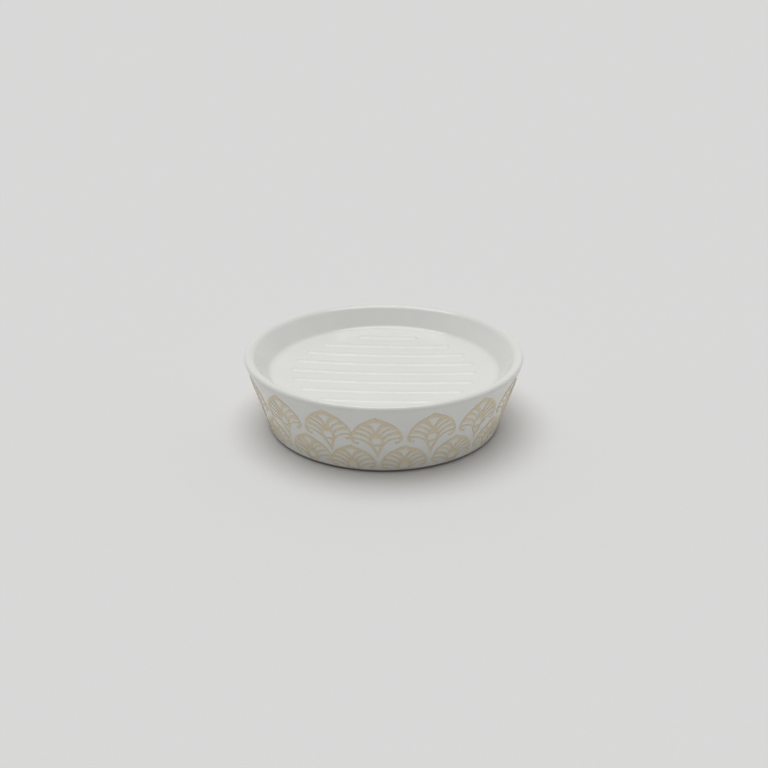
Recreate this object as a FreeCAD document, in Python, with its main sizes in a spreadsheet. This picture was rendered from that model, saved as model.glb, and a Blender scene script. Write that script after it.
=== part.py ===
import FreeCAD, Part
import math
import os

import Sketcher

# A round soap dish: a slip-cast ceramic shell with a ribbed, dished well and an open
# underside, two rows of printed palmette fans round its flared wall, and thin pads
# under its foot ring. Millimetres, +Z up, origin on the table under the centre.

Vector = FreeCAD.Vector
Placement = FreeCAD.Placement
Rotation = FreeCAD.Rotation

X_AXIS = Vector(1, 0, 0)
Y_AXIS = Vector(0, 1, 0)
Z_AXIS = Vector(0, 0, 1)
FULL_TURN = 360
# Two places this near each other, in millimetres, count as one
TOLERANCE = 1e-5

# Driving dimensions: lengths in millimetres, angles in degrees, and counts
SIZES = {
    # Dish body
    "rim_diameter": 115.0,
    "dish_height": 31.4,
    "wall_flare": 9.0,
    "wall_thickness": 5.0,
    "rim_outer_round": 1.3,
    "rim_inner_round": 3.6,
    "well_depth": 8.8,
    "well_wall_run": 5.1,
    "floor_dish": 1.6,
    "floor_thickness": 6.2,
    "floor_fillet": 3.5,
    "underside_fillet": 4.0,
    "foot_round": 0.6,
    # Ribs on the floor of the well
    "rib_pitch": 9.6,
    "rib_width": 3.6,
    "rib_height": 0.55,
    "rib_margin": 8.5,
    "rib_offset": 2.8,
    "rib_foot_round": 0.8,
    # Printed fans
    "fan_count": 16,
    "fan_gap": 1.8,
    "row_gap": 0.85,
    "print_top_margin": 1.55,
    "print_foot_margin": 0.4,
    "print_thickness": 0.12,
    "print_start_angle": -0.8,
    "print_lap_angle": 2.6,
    "print_lean_angle": 2.4,
    "print_start_drop": 1.3,
    "print_wave_angle": 58.0,
    "print_settle_fans": 6.0,
    # Foot pads
    "pad_count": 4,
    "pad_diameter": 4.0,
    "pad_thickness": 0.5,
}

doc = FreeCAD.newDocument("soap_dish")
sheet = doc.addObject("Spreadsheet::Sheet", "sizes")
for row, (alias, value) in enumerate(SIZES.items(), start=1):
    sheet.set(f"A{row}", alias)
    sheet.set(f"B{row}", str(value))
    sheet.setAlias(f"B{row}", alias)
doc.recompute()


def size(alias):
    """The value of a cell of the sheet."""
    return float(sheet.get(alias))


def origin_feature(body, role):
    """A plane or axis of a body's own origin."""
    return next(item for item in body.Origin.OriginFeatures if item.Role == role)


# Places in the half section of the body, as (radius, height)
rim_radius = size("rim_diameter") / 2
foot_level = size("pad_thickness")
foot_corner = Vector(rim_radius - size("wall_flare"), foot_level)
rim_top = Vector(rim_radius - size("rim_outer_round"), size("dish_height"))
outer_centre = rim_top - Vector(0, size("rim_outer_round"))
inner_centre = rim_top - Vector(0, size("rim_inner_round"))
floor_edge = Vector(
    rim_top.x - size("rim_inner_round") - size("well_wall_run"),
    size("dish_height") - size("well_depth"),
)
floor_bottom = floor_edge.y - size("floor_dish")
floor_ball = (floor_edge.x ** 2 + size("floor_dish") ** 2) / (2 * size("floor_dish"))
ball_centre = Vector(0, floor_bottom + floor_ball)


def tangent_point(start, centre, radius, side):
    """Where a line from start touches a round of the rim, on its outer (1) or well (-1) side."""
    reach = centre - start
    length = math.sqrt(reach.Length ** 2 - radius ** 2)
    turn = math.asin(radius / reach.Length)
    return start + Rotation(Z_AXIS, -side * math.degrees(turn)).multVec(reach).normalize() * length


wall_top = tangent_point(foot_corner, outer_centre, size("rim_outer_round"), 1)
well_top = tangent_point(floor_edge, inner_centre, size("rim_inner_round"), -1)
wall_tilt = math.atan2(wall_top.x - foot_corner.x, wall_top.y - foot_corner.y)
inner_foot = foot_corner - Vector(size("wall_thickness") / math.cos(wall_tilt), 0)


def underside_corner():
    """Where the inner face of the wall meets the underside of the floor."""
    slope = Vector(math.sin(wall_tilt), math.cos(wall_tilt))
    reach = inner_foot - ball_centre
    along = reach.dot(slope)
    ball = floor_ball + size("floor_thickness")
    return inner_foot + slope * (-along - math.sqrt(along ** 2 - reach.Length ** 2 + ball ** 2))


def polar_angle(point, centre):
    return math.atan2(point.y - centre.y, point.x - centre.x)


def arc(centre, radius, start_angle, end_angle):
    return Part.ArcOfCircle(Part.Circle(centre, Z_AXIS, radius), start_angle, end_angle)


def section_sketch(body):
    """The body's half section: floor, well wall, rim, outer wall, foot, inner wall, underside."""
    sketch = body.newObject("Sketcher::SketchObject", "section")
    sketch.AttachmentSupport = [(origin_feature(body, "XZ_Plane"), "")]
    sketch.MapMode = "FlatFace"
    under = underside_corner()
    under_ball = floor_ball + size("floor_thickness")
    under_bottom = Vector(0, floor_bottom - size("floor_thickness"))
    upright = math.pi / 2
    floor, well, rim_in, rim_out, wall, foot, inner, underside, axis = range(9)
    sketch.addGeometry([
        arc(ball_centre, floor_ball, -upright, polar_angle(floor_edge, ball_centre)),
        Part.LineSegment(floor_edge, well_top),
        arc(inner_centre, size("rim_inner_round"), upright, polar_angle(well_top, inner_centre)),
        arc(outer_centre, size("rim_outer_round"), polar_angle(wall_top, outer_centre), upright),
        Part.LineSegment(wall_top, foot_corner),
        Part.LineSegment(foot_corner, inner_foot),
        Part.LineSegment(inner_foot, under),
        arc(ball_centre, under_ball, -upright, polar_angle(under, ball_centre)),
        Part.LineSegment(under_bottom, Vector(0, floor_bottom)),
    ])
    start, end, centre = 1, 2, 3
    origin, vertical = -1, -2
    sketch.addConstraint([
        Sketcher.Constraint("Coincident", floor, end, well, start),
        Sketcher.Constraint("Tangent", well, end, rim_in, end),
        Sketcher.Constraint("Tangent", rim_in, start, rim_out, end),
        Sketcher.Constraint("Tangent", rim_out, start, wall, start),
        Sketcher.Constraint("Vertical", rim_in, centre, rim_out, centre),
        Sketcher.Constraint("Coincident", wall, end, foot, start),
        Sketcher.Constraint("Coincident", foot, end, inner, start),
        Sketcher.Constraint("Coincident", inner, end, underside, end),
        Sketcher.Constraint("Coincident", underside, start, axis, start),
        Sketcher.Constraint("Coincident", axis, end, floor, start),
        Sketcher.Constraint("Coincident", underside, centre, floor, centre),
        Sketcher.Constraint("PointOnObject", floor, centre, vertical),
        Sketcher.Constraint("PointOnObject", axis, start, vertical),
        Sketcher.Constraint("PointOnObject", axis, end, vertical),
        Sketcher.Constraint("Horizontal", foot),
        Sketcher.Constraint("Parallel", wall, inner),
    ])
    rim_place = "sizes.rim_diameter / 2 - sizes.rim_outer_round"
    floor_level = "sizes.dish_height - sizes.well_depth"
    driven = [
        ("DistanceX", (origin, start, rim_out, centre), outer_centre.x, rim_place),
        ("DistanceY", (origin, start, rim_out, centre), outer_centre.y,
         "sizes.dish_height - sizes.rim_outer_round"),
        ("Radius", (rim_out,), size("rim_outer_round"), "sizes.rim_outer_round"),
        ("Radius", (rim_in,), size("rim_inner_round"), "sizes.rim_inner_round"),
        ("DistanceX", (origin, start, foot, start), foot_corner.x,
         "sizes.rim_diameter / 2 - sizes.wall_flare"),
        ("DistanceY", (origin, start, foot, start), foot_corner.y, "sizes.pad_thickness"),
        ("DistanceX", (origin, start, floor, end), floor_edge.x,
         rim_place + " - sizes.rim_inner_round - sizes.well_wall_run"),
        ("DistanceY", (origin, start, floor, end), floor_edge.y, floor_level),
        ("DistanceY", (origin, start, floor, start), floor_bottom, floor_level + " - sizes.floor_dish"),
        ("DistanceY", (origin, start, underside, start), under_bottom.y,
         floor_level + " - sizes.floor_dish - sizes.floor_thickness"),
        ("Distance", (foot, end, wall), size("wall_thickness"), "sizes.wall_thickness"),
    ]
    for kind, items, value, formula in driven:
        index = sketch.addConstraint(Sketcher.Constraint(kind, *items, value))
        sketch.setExpression(f"Constraints[{index}]", formula)
    return sketch


def ring_edges(*places):
    """A finder of the circles about Z that pass through these places of the half section."""
    def find(shape):
        names = []
        for number, edge in enumerate(shape.Edges, start=1):
            if not edge.Degenerated and isinstance(edge.Curve, Part.Circle):
                seat = Vector(edge.Curve.Radius, edge.Curve.Center.z)
                if any(seat.isEqual(place, TOLERANCE) for place in places):
                    names.append(f"Edge{number}")
        return names
    return find


def rib_foot_edges(shape):
    """Names of the edges round the ribs' feet: the edges of the holes in the floor's face."""
    floor = next(face for face in shape.Faces if isinstance(face.Surface, Part.Sphere)
                 and abs(face.Surface.Radius - floor_ball) < TOLERANCE)
    feet = [edge for wire in floor.Wires if not wire.isSame(floor.OuterWire) for edge in wire.Edges]
    numbered = enumerate(shape.Edges, start=1)
    return [f"Edge{number}" for number, edge in numbered if any(edge.isSame(foot) for foot in feet)]


def round_edges(body, name, find_edges, radius_alias):
    """Round the edges of the body, as it is so far, that find_edges names."""
    doc.recompute()
    base = body.Tip
    fillet = body.newObject("PartDesign::Fillet", name)
    fillet.Base = (base, find_edges(base.Shape))
    fillet.setExpression("Radius", f"sizes.{radius_alias}")


def add_rib(body, number, offset):
    """One rib: a bar bent to the dished floor, with ball ends."""
    half_width = size("rib_width") / 2
    bar_radius = (size("rib_height") ** 2 + half_width ** 2) / (2 * size("rib_height"))
    zone_radius = floor_edge.x - size("rib_margin")
    half_length = math.sqrt(zone_radius ** 2 - offset ** 2) - half_width
    bend = math.sqrt(floor_ball ** 2 - offset ** 2) + bar_radius - size("rib_height")
    half_turn = math.degrees(math.asin(half_length / bend))
    bar_formula = "(sizes.rib_height ^ 2 + (sizes.rib_width / 2) ^ 2) / (2 * sizes.rib_height)"

    bar = body.newObject("PartDesign::AdditiveTorus", f"rib_{number}")
    bar.Radius1 = bend
    bar.setExpression("Radius2", bar_formula)
    bar.Angle3 = 2 * half_turn
    middle = Vector(0, offset, ball_centre.y)
    lie = Rotation(Y_AXIS, FULL_TURN / 2 - half_turn).multiply(Rotation(Z_AXIS, X_AXIS, Y_AXIS, "ZXY"))
    bar.Placement = Placement(middle, lie)

    drop = math.sqrt(bend ** 2 - half_length ** 2)
    for side, end_name in ((-1, "left"), (1, "right")):
        ball = body.newObject("PartDesign::AdditiveSphere", f"rib_{number}_{end_name}_end")
        ball.setExpression("Radius", bar_formula)
        ball.Placement = Placement(middle + Vector(side * half_length, 0, -drop), Rotation())


def make_dish_body():
    body = doc.addObject("PartDesign::Body", "dish_body")
    sketch = section_sketch(body)
    revolution = body.newObject("PartDesign::Revolution", "shell")
    revolution.Profile = sketch
    revolution.ReferenceAxis = (sketch, ["V_Axis"])
    revolution.Angle = FULL_TURN
    round_edges(body, "floor_round", ring_edges(floor_edge), "floor_fillet")
    round_edges(body, "underside_round", ring_edges(underside_corner()), "underside_fillet")
    round_edges(body, "foot_rounds", ring_edges(foot_corner, inner_foot), "foot_round")
    zone = 2 * (floor_edge.x - size("rib_margin"))
    rib_count = int(zone / size("rib_pitch"))
    for number in range(rib_count):
        step = number - (rib_count - 1) / 2
        add_rib(body, number + 1, step * size("rib_pitch") + size("rib_offset"))
    round_edges(body, "rib_foot_rounds", rib_foot_edges, "rib_foot_round")
    return body


# The palmette fan, right half, as shares of its width and height from its foot line, which
# the point of the stem passes a little.
# A step is (via, end): an arc through via, or a straight line where via is None.
FAN_TIP_SHARE = (0.0, 1.0)
FAN_OUTLINE_SHARES = [
    (None, (0.23, 0.87)),
    ((0.415, 0.69), (0.50, 0.45)),
    ((0.476, 0.352), (0.398, 0.305)),
    ((0.345, 0.330), (0.366, 0.360)),
    ((0.428, 0.362), (0.416, 0.425)),
    ((0.270, 0.395), (0.128, 0.268)),
    ((0.046, 0.080), (0.0, -0.045)),
]
WIDEST_SHARE = 0.45
SCROLL_LOW_SHARE = 0.305
# The upper fan's share of the print's height on the wall, and the lower fan's share over the foot
UPPER_FAN_SHARE = 0.7025
LOWER_SHOWN_SHARE = 0.777
# Bare shapes on the fan's axis: the top kite, the stone and the stem's triangle
KITE_SHARES = [(0.0, 0.888), (None, (0.138, 0.843)), ((0.056, 0.748), (0.0, 0.575))]
STONE_SHARES = [(0.0, 0.468), ((0.040, 0.465), (0.076, 0.455)), ((0.093, 0.380), (0.062, 0.288)),
                ((0.032, 0.302), (0.0, 0.307))]
STEM_SHARES = [(0.0, 0.262), ((0.030, 0.257), (0.058, 0.245)), (None, (0.0, 0.075))]
# Bare petals beside the axis: from the base up one side, round the tip and back
PETAL_SHARES = [
    [(0.047, 0.537), ((0.113, 0.703), (0.252, 0.776)), ((0.288, 0.756), (0.274, 0.724)),
     ((0.150, 0.648), (0.047, 0.537))],
    [(0.100, 0.452), ((0.193, 0.632), (0.368, 0.672)), ((0.402, 0.648), (0.378, 0.620)),
     ((0.224, 0.560), (0.100, 0.452))],
    [(0.135, 0.327), ((0.240, 0.510), (0.430, 0.532)), ((0.466, 0.497), (0.441, 0.464)),
     ((0.277, 0.434), (0.135, 0.327))],
]


class Motif:
    """The fan drawn flat at one width and height, with its tip at the origin."""

    def __init__(self, width, height):
        self.width = width
        self.height = height

    def point(self, shares, side):
        across, up = shares
        return Vector(side * across * self.width, (up - 1) * self.height)

    def edges(self, start, steps, side):
        """The edges from start along the steps, on the right (1) or mirrored on the left (-1)."""
        found = []
        here = self.point(start, side)
        for via, end in steps:
            there = self.point(end, side)
            if via is None:
                found.append(Part.LineSegment(here, there).toShape())
            else:
                found.append(Part.Arc(here, self.point(via, side), there).toShape())
            here = there
        return found

    def face(self, start, steps):
        """A face across the axis: the right half and its mirror."""
        loop = self.edges(start, steps, 1) + self.edges(start, steps, -1)
        return Part.Face(Part.Wire(Part.__sortEdges__(loop)))

    def silhouette(self):
        return self.face(FAN_TIP_SHARE, FAN_OUTLINE_SHARES)

    def printed(self):
        """The silhouette less the bare shapes in it."""
        bare = [self.face(shares[0], shares[1:]) for shares in (KITE_SHARES, STONE_SHARES, STEM_SHARES)]
        for start, *steps in PETAL_SHARES:
            for side in (1, -1):
                bare.append(Part.Face(Part.Wire(self.edges(start, steps, side))))
        return self.silhouette().cut(bare)


def wall_radius(level):
    return foot_corner.x + (level - foot_level) * math.tan(wall_tilt)


def print_skin():
    """The thin layer over the straight wall, from the table up, that the fans are pieces of."""
    proud = size("print_thickness") / math.cos(wall_tilt)
    outside = Part.makeCone(wall_radius(0) + proud, wall_top.x + proud, wall_top.y)
    inside = Part.makeCone(wall_radius(0), wall_top.x, wall_top.y)
    return outside.cut(inside)


print_low = foot_level + size("foot_round") + size("print_foot_margin")


def print_band():
    """The room between the print's lower edge, above the foot's round, and the rim."""
    return Part.makeCylinder(size("rim_diameter"), wall_top.y, Vector(0, 0, print_low))


class FanRow:
    """One row of fans: the motif wrapped on the wall at the front, and its copies round the wall."""

    def __init__(self, name, slope_drop, height, first_angle):
        self.name = name
        self.first_angle = first_angle
        self.step = (FULL_TURN + size("print_lap_angle")) / size("fan_count")
        self.tip_level = wall_top.y - slope_drop * math.cos(wall_tilt)
        self.height = height
        self.widest_level = self.tip_level - (1 - WIDEST_SHARE) * height * math.cos(wall_tilt)
        arc_length = math.radians(self.step) * wall_radius(self.widest_level)
        self.motif = Motif(arc_length - size("fan_gap"), height)

    def wrapped(self, face):
        """A flat face laid on the wall at the front, as a piece of the print skin."""
        depth = wall_radius(self.tip_level) / 2
        prism = face.extrude(Z_AXIS * depth)
        prism.translate(Z_AXIS * -depth / 2)
        tip = Vector(0, -wall_radius(self.tip_level), self.tip_level)
        stand = Rotation(X_AXIS, FULL_TURN / 4 + math.degrees(wall_tilt))
        lean = Rotation(Z_AXIS, size("print_lean_angle"))
        prism.Placement = Placement(tip, stand.multiply(lean)).multiply(prism.Placement)
        return prism.common(print_skin())

    def placed(self, shape, index):
        """A copy at its place in the row: the strip starts low on the wall, and its waver dies away."""
        turn = self.first_angle + index * self.step
        fans = (turn - size("print_start_angle")) / self.step
        waver = math.cos(math.radians(fans * size("print_wave_angle")))
        drop = size("print_start_drop") * waver * math.exp(-fans / size("print_settle_fans"))
        apex = Vector(0, 0, foot_level - foot_corner.x / math.tan(wall_tilt))
        slant = wall_radius(self.tip_level) / math.sin(wall_tilt)
        copy = shape.copy()
        copy.scale(1 - drop / slant, apex)
        copy.rotate(Vector(), Z_AXIS, turn)
        return copy.common(print_band())

    def make_fans(self):
        """The strip laps its own start, so the last fan is trimmed by the first."""
        master = self.wrapped(self.motif.printed())
        cover = self.wrapped(self.motif.silhouette())
        count = int(size("fan_count"))
        fans = []
        for index in range(count):
            shape = self.placed(master, index)
            if index == count - 1:
                shape = shape.cut(self.placed(cover, 0))
            fan = doc.addObject("Part::Feature", f"{self.name}_fan_{index + 1:02d}")
            fan.Shape = shape
            fans.append(fan)
        return fans


def make_prints():
    """The print fills the wall's slope: the lower row starts under the upper row's scrolls, and
    the strip's lean carries it along."""
    room = (wall_top.y - print_low) / math.cos(wall_tilt) - size("print_top_margin")
    upper_height = UPPER_FAN_SHARE * room
    upper = FanRow("upper", size("print_top_margin"), upper_height, size("print_start_angle"))
    lower_start = (1 - SCROLL_LOW_SHARE) * upper_height + size("row_gap")
    lower_height = (room - lower_start) / LOWER_SHOWN_SHARE
    lower_drop = size("print_top_margin") + lower_start
    carried = lower_start * math.sin(math.radians(size("print_lean_angle")))
    carried_angle = math.degrees(carried / wall_radius(wall_top.y - lower_drop * math.cos(wall_tilt)))
    lower_angle = upper.first_angle - upper.step / 2 + carried_angle
    lower = FanRow("lower", lower_drop, lower_height, lower_angle)
    return upper.make_fans() + lower.make_fans()


def make_pads():
    """Thin round pads, evenly spaced on the middle of the foot ring."""
    pads = []
    count = int(size("pad_count"))
    ring_radius = (foot_corner.x + inner_foot.x) / 2
    for index in range(count):
        pad = doc.addObject("Part::Cylinder", f"foot_pad_{index + 1}")
        pad.setExpression("Radius", "sizes.pad_diameter / 2")
        pad.setExpression("Height", "sizes.pad_thickness")
        turn = Rotation(Z_AXIS, FULL_TURN * (index + 1 / 2) / count)
        pad.Placement = Placement(turn.multVec(X_AXIS * ring_radius), turn)
        pads.append(pad)
    return pads


def check(parts):
    """Stop if an object failed or a sub-part's shape is not sound."""
    for item in doc.Objects:
        if "Invalid" in item.State or "Error" in item.State:
            raise RuntimeError(f"{item.Name} failed: {item.State}")
    for part in parts:
        if part.Shape.isNull() or not part.Shape.isValid():
            raise RuntimeError(f"{part.Label} has no valid shape")


parts = [make_dish_body()] + make_prints() + make_pads()
doc.recompute()
check(parts)
os.makedirs("parts", exist_ok=True)
for part in parts:
    part.Shape.exportStep(f"parts/{part.Label}.step")
    print(f"{part.Label}: {len(part.Shape.Solids)} solid, {part.Shape.Volume:.2f} mm3")
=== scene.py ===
import math

import bpy
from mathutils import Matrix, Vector


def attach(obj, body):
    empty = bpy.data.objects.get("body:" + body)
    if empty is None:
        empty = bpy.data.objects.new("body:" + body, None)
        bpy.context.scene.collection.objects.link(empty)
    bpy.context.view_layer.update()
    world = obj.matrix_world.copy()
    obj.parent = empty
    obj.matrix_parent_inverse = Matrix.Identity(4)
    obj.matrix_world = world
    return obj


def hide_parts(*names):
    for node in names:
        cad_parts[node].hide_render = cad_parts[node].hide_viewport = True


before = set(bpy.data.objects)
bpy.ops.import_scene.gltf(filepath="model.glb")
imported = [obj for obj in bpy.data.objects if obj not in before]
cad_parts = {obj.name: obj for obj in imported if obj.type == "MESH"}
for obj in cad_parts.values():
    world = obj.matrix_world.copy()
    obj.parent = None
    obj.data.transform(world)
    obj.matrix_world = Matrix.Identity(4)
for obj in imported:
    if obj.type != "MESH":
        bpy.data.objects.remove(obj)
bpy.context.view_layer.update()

# Lengths are in millimetres until MM turns them into metres
MM = 0.001

# Half section of the dish, with places as (radius, height)
RIM_RADIUS = 57.5
HEIGHT = 31.4
FOOT = Vector((48.5, 0.5))
RIM_OUTER_ROUND = 1.3
RIM_INNER_ROUND = 3.6
FLOOR_EDGE = Vector((47.5, 22.6))
FLOOR_DISH = 1.6
FLOOR_THICKNESS = 6.2
WALL_THICKNESS = 5.0
FLOOR_FILLET = 3.5
UNDERSIDE_FILLET = 4.0
FOOT_ROUND = 0.6
# Ribs, inside a round zone of the floor, and the floor beyond it that their fillets may reach
RIB_COUNT = 8
RIB_PITCH = 9.6
RIB_WIDTH = 3.6
RIB_HEIGHT = 0.55
RIB_OFFSET = 2.8
RIB_FOOT_ROUND = 0.8
RIB_ZONE = 39.0
RIB_ZONE_MARGIN = 2.0
# Steps of the mesh: how many there are in a turn or a round, and their length elsewhere
TURN_STEPS = 720
FLOOR_ROUND_STEPS = 14
RIM_INNER_STEPS = 16
RIM_OUTER_STEPS = 14
FOOT_ROUND_STEPS = 8
UNDERSIDE_ROUND_STEPS = 12
UNDERSIDE_STEPS = 24
RIBBED_STEP = 0.34
WELL_WALL_STEP = 0.8
OUTER_WALL_STEP = 1.2
FOOT_STEP = 1.0
INNER_WALL_STEP = 1.5

# Heights between which the dark unglazed band at the foot gives way to glaze; the band is the fired body,
# darkened to paint the shade of the gap under the foot
CLAY_AND_SHADE_TOP = 0.85
CLAY_AND_SHADE_FADE_TOP = 1.3
# Depths of the waves and grains in the surfaces
GLAZE_WAVE = 0.06
ENAMEL_GRAIN = 0.01
RUBBER_GRAIN = 0.03

# Colours and roughness, each as the two ends of its mottling, or as one value all over
GLAZE = (0.797, 0.797, 0.771), (0.777, 0.777, 0.746)
# Unglazed foot band: the colour of the fired body, darkened to paint the shade of the gap under the foot
CLAY_AND_FOOT_SHADE = (0.22, 0.165, 0.12), (0.30, 0.235, 0.18)
ENAMEL = (0.695, 0.602, 0.433), (0.755, 0.670, 0.50)
RUBBER = (0.07, 0.07, 0.068), (0.10, 0.10, 0.097)
PALE_FLOOR = (0.77, 0.77, 0.77), (0.78, 0.78, 0.78)
GLAZE_ROUGHNESS = (0.09, 0.14)
CLAY_ROUGHNESS = 0.75
ENAMEL_ROUGHNESS = (0.36, 0.48)
RUBBER_ROUGHNESS = (0.7, 0.85)
FLOOR_ROUGHNESS = 0.9
GLAZE_IOR = 1.5

# The floor's reach, in metres, and the strengths and directions of the light
FLOOR_REACH = 60
SUN_ENERGY = 1.56
SUN_SPREAD = 50
SUN_PLACE = Vector((-0.08, 0.08, 1))
ROOM_COLOUR = (1, 1, 0.99, 1)
ROOM_FRONT = 0.17
ROOM_BACK = 0.54
ROOM_SIDES = 0.16
BACKDROP = 0.68

# The camera, with its angles in degrees and its shift in pixels of the image
CAMERA_DISTANCE = 389
CAMERA_ELEVATION = 24.1
CAMERA_AZIMUTH = 2.6
CAMERA_TARGET = Vector((0, 0, 15))
SENSOR_WIDTH = 36
LENS = 43.16
SHIFT_PIXELS = (0.2, 0.4)
IMAGE_WIDTH = 768
CLIP_METRES = (0.01, 200)

floor_bottom = FLOOR_EDGE.y - FLOOR_DISH
floor_ball = (FLOOR_EDGE.x ** 2 + FLOOR_DISH ** 2) / (2 * FLOOR_DISH)
under_ball = floor_ball + FLOOR_THICKNESS
ball_centre = Vector((0, floor_bottom + floor_ball))
outer_centre = Vector((RIM_RADIUS - RIM_OUTER_ROUND, HEIGHT - RIM_OUTER_ROUND))
inner_centre = Vector((RIM_RADIUS - RIM_OUTER_ROUND, HEIGHT - RIM_INNER_ROUND))


def turned(vector, angle):
    cos, sin = math.cos(angle), math.sin(angle)
    return Vector((cos * vector.x - sin * vector.y, sin * vector.x + cos * vector.y))


def tangent_point(start, centre, radius, side):
    """Where a line from start touches a circle, on its right (1) or left (-1) side."""
    reach = centre - start
    length = math.sqrt(reach.length_squared - radius ** 2)
    return start + turned(reach, -side * math.asin(radius / reach.length)).normalized() * length


def polar(point, centre):
    return math.atan2(point.y - centre.y, point.x - centre.x)


def arc(centre, radius, start, end, steps):
    """Points from angle start to angle end."""
    points = []
    for step in range(steps + 1):
        angle = start + (end - start) * step / steps
        points.append(centre + Vector((math.cos(angle), math.sin(angle))) * radius)
    return points


def corner_round(before, corner, after, radius, steps):
    """Points of a round of that radius in the corner between two lines."""
    into = (corner - before).normalized()
    out = (after - corner).normalized()
    bend = math.atan2(into.x * out.y - into.y * out.x, into.dot(out))
    reach = radius * math.tan(abs(bend) / 2)
    side = math.copysign(1, bend)
    start = corner - into * reach
    centre = start + Vector((-into.y, into.x)) * side * radius
    return [centre + turned(start - centre, bend * step / steps) for step in range(steps + 1)]


def line(start, end, step):
    """Points between start and end, without either."""
    count = max(1, round((end - start).length / step))
    return [start.lerp(end, index / count) for index in range(1, count)]


def ball_height(radius, ball):
    return ball_centre.y - math.sqrt(ball ** 2 - radius ** 2)


def ball_tangent(point):
    """The way outwards along the dished floor or its underside."""
    return Vector((ball_centre.y - point.y, point.x)).normalized()


def underside_corner(inner_foot, slope):
    """Where the inner face of the wall meets the underside of the floor."""
    reach = inner_foot - ball_centre
    along = reach.dot(slope)
    return inner_foot + slope * (-along - math.sqrt(along ** 2 - reach.length_squared + under_ball ** 2))


def dish_profile():
    """The half section from the middle of the floor, over the rim, to the middle of the underside."""
    wall_top = tangent_point(FOOT, outer_centre, RIM_OUTER_ROUND, 1)
    well_top = tangent_point(FLOOR_EDGE, inner_centre, RIM_INNER_ROUND, -1)
    tilt = math.atan2(wall_top.x - FOOT.x, wall_top.y - FOOT.y)
    inner_foot = FOOT - Vector((WALL_THICKNESS / math.cos(tilt), 0))
    under = underside_corner(inner_foot, Vector((math.sin(tilt), math.cos(tilt))))

    before_edge = FLOOR_EDGE - ball_tangent(FLOOR_EDGE)
    after_under = under - ball_tangent(under)
    floor_round = corner_round(before_edge, FLOOR_EDGE, well_top, FLOOR_FILLET, FLOOR_ROUND_STEPS)
    foot_round = corner_round(wall_top, FOOT, inner_foot, FOOT_ROUND, FOOT_ROUND_STEPS)
    inner_round = corner_round(FOOT, inner_foot, under, FOOT_ROUND, FOOT_ROUND_STEPS)
    under_round = corner_round(inner_foot, under, after_under, UNDERSIDE_FILLET, UNDERSIDE_ROUND_STEPS)

    floor_steps = math.ceil(floor_round[0].x / RIBBED_STEP)
    floor_radii = [floor_round[0].x * step / floor_steps for step in range(floor_steps)]
    under_radii = [under_round[-1].x * (1 - step / UNDERSIDE_STEPS) for step in range(1, UNDERSIDE_STEPS + 1)]
    top = math.pi / 2
    return [
        *(Vector((radius, ball_height(radius, floor_ball))) for radius in floor_radii),
        *floor_round,
        *line(floor_round[-1], well_top, WELL_WALL_STEP),
        *arc(inner_centre, RIM_INNER_ROUND, polar(well_top, inner_centre), top, RIM_INNER_STEPS),
        *arc(outer_centre, RIM_OUTER_ROUND, top, polar(wall_top, outer_centre), RIM_OUTER_STEPS)[1:],
        *line(wall_top, foot_round[0], OUTER_WALL_STEP),
        *foot_round,
        *line(foot_round[-1], inner_round[0], FOOT_STEP),
        *inner_round,
        *line(inner_round[-1], under_round[0], INNER_WALL_STEP),
        *under_round,
        *(Vector((radius, ball_height(radius, under_ball))) for radius in under_radii),
    ]


def rib_rise(x, y):
    """Height of the ribs over the plain floor: a round bar, ball ends, and a fillet round its foot."""
    half = RIB_WIDTH / 2
    bar = (RIB_HEIGHT ** 2 + half ** 2) / (2 * RIB_HEIGHT)
    sunk = bar - RIB_HEIGHT
    middle = (RIB_COUNT - 1) / 2
    row = min(max(round((y - RIB_OFFSET) / RIB_PITCH + middle), 0), RIB_COUNT - 1)
    offset = (row - middle) * RIB_PITCH + RIB_OFFSET
    half_length = math.sqrt(RIB_ZONE ** 2 - offset ** 2) - half
    away = math.hypot(y - offset, max(abs(x) - half_length, 0))
    foot = math.sqrt((bar + RIB_FOOT_ROUND) ** 2 - (RIB_FOOT_ROUND + sunk) ** 2)
    touch = foot * bar / (bar + RIB_FOOT_ROUND)
    if away >= foot:
        return 0
    if away >= touch:
        return RIB_FOOT_ROUND - math.sqrt(RIB_FOOT_ROUND ** 2 - (foot - away) ** 2)
    return math.sqrt(bar ** 2 - away ** 2) - sunk


def dish_vertices(profile):
    """The half section turned about Z, with the ribs raised on its floor, in metres."""
    first, *rings, last = profile
    ribbed_rows = next(row for row, point in enumerate(profile) if point.x > RIB_ZONE + RIB_ZONE_MARGIN)
    vertices = [(0, 0, (first.y + rib_rise(0, 0)) * MM)]
    for row, point in enumerate(rings, start=1):
        for step in range(TURN_STEPS):
            angle = 2 * math.pi * step / TURN_STEPS
            x, y, z = point.x * math.cos(angle), point.x * math.sin(angle), point.y
            if row <= ribbed_rows:
                z += rib_rise(x, y)
            vertices.append((x * MM, y * MM, z * MM))
    vertices.append((0, 0, last.y * MM))
    return vertices


def dish_faces(ring_count):
    """Faces from the first vertex, ring by ring, to the last vertex."""
    last_ring = 1 + (ring_count - 1) * TURN_STEPS
    last_vertex = last_ring + TURN_STEPS
    faces = []
    for step in range(TURN_STEPS):
        after = (step + 1) % TURN_STEPS
        faces.append((0, 1 + step, 1 + after))
        for low in range(1, last_ring, TURN_STEPS):
            high = low + TURN_STEPS
            faces.append((low + step, high + step, high + after, low + after))
        faces.append((last_ring + step, last_vertex, last_ring + after))
    return faces


def make_dish():
    """The glazed casting."""
    profile = dish_profile()
    mesh = bpy.data.meshes.new("glazed_dish")
    mesh.from_pydata(dish_vertices(profile), [], dish_faces(len(profile) - 2))
    mesh.shade_smooth()
    mesh.update()
    dish = bpy.data.objects.new("glazed_dish", mesh)
    bpy.context.collection.objects.link(dish)
    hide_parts("dish_body")
    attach(dish, "root")
    return dish


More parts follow.
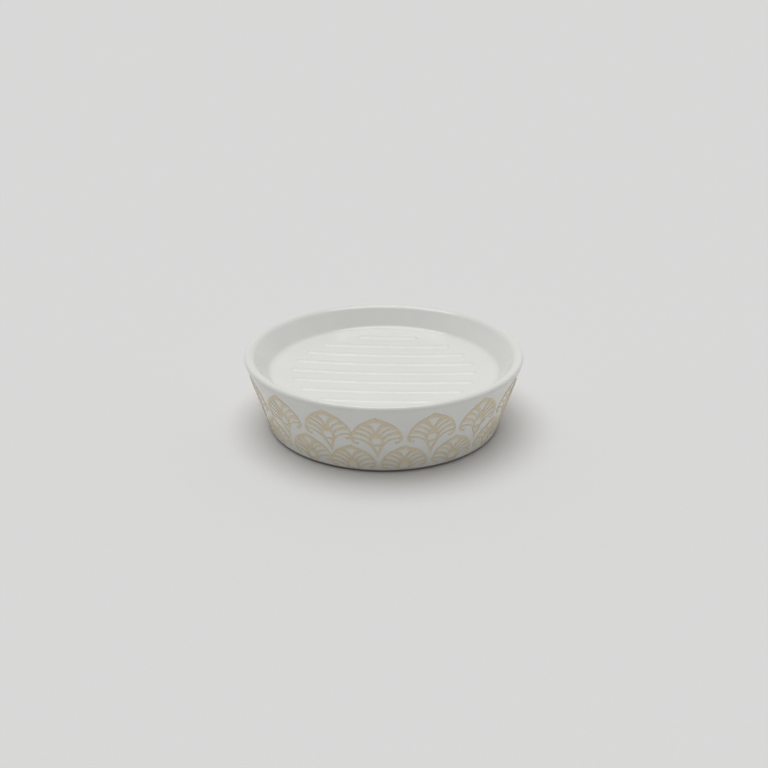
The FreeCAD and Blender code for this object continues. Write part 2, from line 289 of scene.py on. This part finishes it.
class Nodes:
    """A small builder for the nodes of a material or a world."""

    def __init__(self, owner, coordinates):
        owner.use_nodes = True
        self.tree = owner.node_tree
        self.place = self.add("ShaderNodeTexCoord").outputs[coordinates]

    def add(self, kind, **settings):
        node = self.tree.nodes.new(kind)
        for name, value in settings.items():
            setattr(node, name, value)
        return node

    def feed(self, socket, value):
        """Set a socket to a number or a colour, or link it to another node's output."""
        if isinstance(value, bpy.types.NodeSocket):
            self.tree.links.new(value, socket)
        elif isinstance(value, tuple):
            socket.default_value = (*value, 1)
        else:
            socket.default_value = value

    def axis(self, name):
        """One coordinate of the place."""
        node = self.add("ShaderNodeSeparateXYZ")
        self.feed(node.inputs["Vector"], self.place)
        return node.outputs[name]

    def noise(self, scale, detail):
        """A noise from 0 to 1, with scale in turns per metre."""
        node = self.add("ShaderNodeTexNoise")
        for name, value in (("Vector", self.place), ("Scale", scale), ("Detail", detail)):
            self.feed(node.inputs[name], value)
        return node.outputs["Fac"]

    def span(self, source, start, end):
        """A value mapped from the range start to the range end, held at its ends."""
        node = self.add("ShaderNodeMapRange")
        names = ("Value", "From Min", "From Max", "To Min", "To Max")
        for name, value in zip(names, (source, *start, *end)):
            self.feed(node.inputs[name], value)
        return node.outputs["Result"]

    def mottle(self, scale, detail, middle=(0.3, 0.7), end=(0, 1)):
        """The middle of a noise, stretched to the range end."""
        return self.span(self.noise(scale, detail), middle, end)

    def mix(self, factor, one, two):
        """A value between two numbers."""
        node = self.add("ShaderNodeMix", data_type="FLOAT")
        for name, value in (("Factor", factor), ("A", one), ("B", two)):
            self.feed(node.inputs[name], value)
        return node.outputs["Result"]

    def mix_colours(self, factor, one, two):
        node = self.add("ShaderNodeMix", data_type="RGBA")
        colours = [socket for socket in node.inputs if socket.type == "RGBA"]
        for socket, value in zip((node.inputs["Factor"], *colours), (factor, one, two)):
            self.feed(socket, value)
        return next(socket for socket in node.outputs if socket.type == "RGBA")

    def reckon(self, operation, *values):
        node = self.add("ShaderNodeMath", operation=operation)
        for socket, value in zip(node.inputs, values):
            self.feed(socket, value)
        return node.outputs["Value"]


class Finish(Nodes):
    """A material's nodes, round its one shader."""

    def __init__(self, name):
        self.material = bpy.data.materials.new(name)
        super().__init__(self.material, "Object")
        self.shader = self.tree.nodes["Principled BSDF"]

    def set(self, name, value):
        self.feed(self.shader.inputs[name], value)

    def bump(self, height, depth):
        """Waves or grain of that depth."""
        node = self.add("ShaderNodeBump")
        self.feed(node.inputs["Height"], height)
        self.feed(node.inputs["Distance"], depth * MM)
        self.feed(node.inputs["Strength"], 1.0)
        self.set("Normal", node.outputs["Normal"])


def glaze_material():
    """White glaze with faint cloudiness, and the unglazed fired body under the foot ring, darkened there to
    paint the shade of the gap under the foot.
    """
    finish = Finish("white_glaze")
    glaze = finish.mix_colours(finish.mottle(scale=45, detail=3, middle=(0.35, 0.65)), *GLAZE)
    # The dark unglazed foot band is partly the fired body and partly painted shade of the gap under the foot
    clay_and_shade = finish.mix_colours(finish.mottle(scale=2500, detail=4), *CLAY_AND_FOOT_SHADE)
    clay_and_shade_band = finish.span(finish.axis("Z"), (CLAY_AND_SHADE_TOP * MM, CLAY_AND_SHADE_FADE_TOP * MM), (1, 0))
    finish.set("Base Color", finish.mix_colours(clay_and_shade_band, glaze, clay_and_shade))
    gloss = finish.mottle(scale=260, detail=2, end=GLAZE_ROUGHNESS)
    finish.set("Roughness", finish.mix(clay_and_shade_band, gloss, CLAY_ROUGHNESS))
    finish.set("IOR", GLAZE_IOR)
    finish.bump(finish.noise(scale=160, detail=2), GLAZE_WAVE)
    return finish.material


def print_material():
    """Satin beige enamel with the faint grain of a fired-on print."""
    finish = Finish("beige_enamel")
    finish.set("Base Color", finish.mix_colours(finish.mottle(scale=700, detail=3), *ENAMEL))
    finish.set("Roughness", finish.mottle(scale=900, detail=2, end=ENAMEL_ROUGHNESS))
    finish.bump(finish.noise(scale=5000, detail=3), ENAMEL_GRAIN)
    return finish.material


def pad_material():
    """Soft grey rubber with a fine grain."""
    finish = Finish("grey_rubber")
    finish.set("Base Color", finish.mix_colours(finish.mottle(scale=1500, detail=4), *RUBBER))
    finish.set("Roughness", finish.mottle(scale=2500, detail=2, end=RUBBER_ROUGHNESS))
    finish.bump(finish.noise(scale=4000, detail=3), RUBBER_GRAIN)
    return finish.material


def floor_material():
    """A matt, pale table."""
    finish = Finish("pale_floor")
    finish.set("Base Color", finish.mix_colours(finish.mottle(scale=900, detail=3), *PALE_FLOOR))
    finish.set("Roughness", FLOOR_ROUGHNESS)
    finish.set("Specular IOR Level", 0)
    return finish.material


def paint(piece, material):
    piece.data.materials.clear()
    piece.data.materials.append(material)


def make_floor():
    corners = [(-1, -1), (1, -1), (1, 1), (-1, 1)]
    mesh = bpy.data.meshes.new("floor")
    mesh.from_pydata([(x * FLOOR_REACH, y * FLOOR_REACH, 0) for x, y in corners], [], [(0, 1, 2, 3)])
    floor = bpy.data.objects.new("floor", mesh)
    bpy.context.collection.objects.link(floor)
    paint(floor, floor_material())


def make_sun():
    """A broad soft light overhead."""
    lamp = bpy.data.lights.new("overhead", "SUN")
    lamp.energy = SUN_ENERGY
    lamp.angle = math.radians(SUN_SPREAD)
    light = bpy.data.objects.new("overhead", lamp)
    light.rotation_euler = SUN_PLACE.to_track_quat("Z", "Y").to_euler()
    bpy.context.collection.objects.link(light)


def make_room():
    """A pale room that sheds more light from its back and sides, and is an even backdrop to look at."""
    world = bpy.data.worlds.new("room")
    nodes = Nodes(world, "Generated")
    depth = nodes.span(nodes.axis("Y"), (-1, 1), (ROOM_FRONT, ROOM_BACK))
    across = nodes.axis("X")
    sides = nodes.reckon("MULTIPLY", across, across)
    shed = nodes.reckon("MULTIPLY_ADD", sides, ROOM_SIDES, depth)
    rays = nodes.add("ShaderNodeLightPath").outputs
    seen = nodes.reckon("MAXIMUM", rays["Is Camera Ray"], rays["Is Glossy Ray"])
    seen = nodes.reckon("MAXIMUM", seen, rays["Is Transmission Ray"])
    sky = nodes.tree.nodes["Background"]
    sky.inputs["Color"].default_value = ROOM_COLOUR
    nodes.feed(sky.inputs["Strength"], nodes.mix(seen, shed, BACKDROP))
    bpy.context.scene.world = world


def make_camera():
    elevation = math.radians(CAMERA_ELEVATION)
    azimuth = math.radians(CAMERA_AZIMUTH)
    level = math.cos(elevation)
    outwards = Vector((level * math.sin(azimuth), -level * math.cos(azimuth), math.sin(elevation)))
    data = bpy.data.cameras.new("camera")
    data.sensor_width = SENSOR_WIDTH
    data.lens = LENS
    data.shift_x, data.shift_y = (pixels / IMAGE_WIDTH for pixels in SHIFT_PIXELS)
    data.clip_start, data.clip_end = CLIP_METRES
    camera = bpy.data.objects.new("camera", data)
    camera.location = (CAMERA_TARGET + outwards * CAMERA_DISTANCE) * MM
    camera.rotation_euler = outwards.to_track_quat("Z", "Y").to_euler()
    bpy.context.collection.objects.link(camera)
    bpy.context.scene.camera = camera


dish = make_dish()
paint(dish, glaze_material())
enamel = print_material()
rubber = pad_material()
for name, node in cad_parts.items():
    if "_fan_" in name:
        paint(node, enamel)
    elif name.startswith("foot_pad"):
        paint(node, rubber)
make_floor()
make_sun()
make_room()
make_camera()
bpy.context.scene.view_settings.view_transform = "Standard"
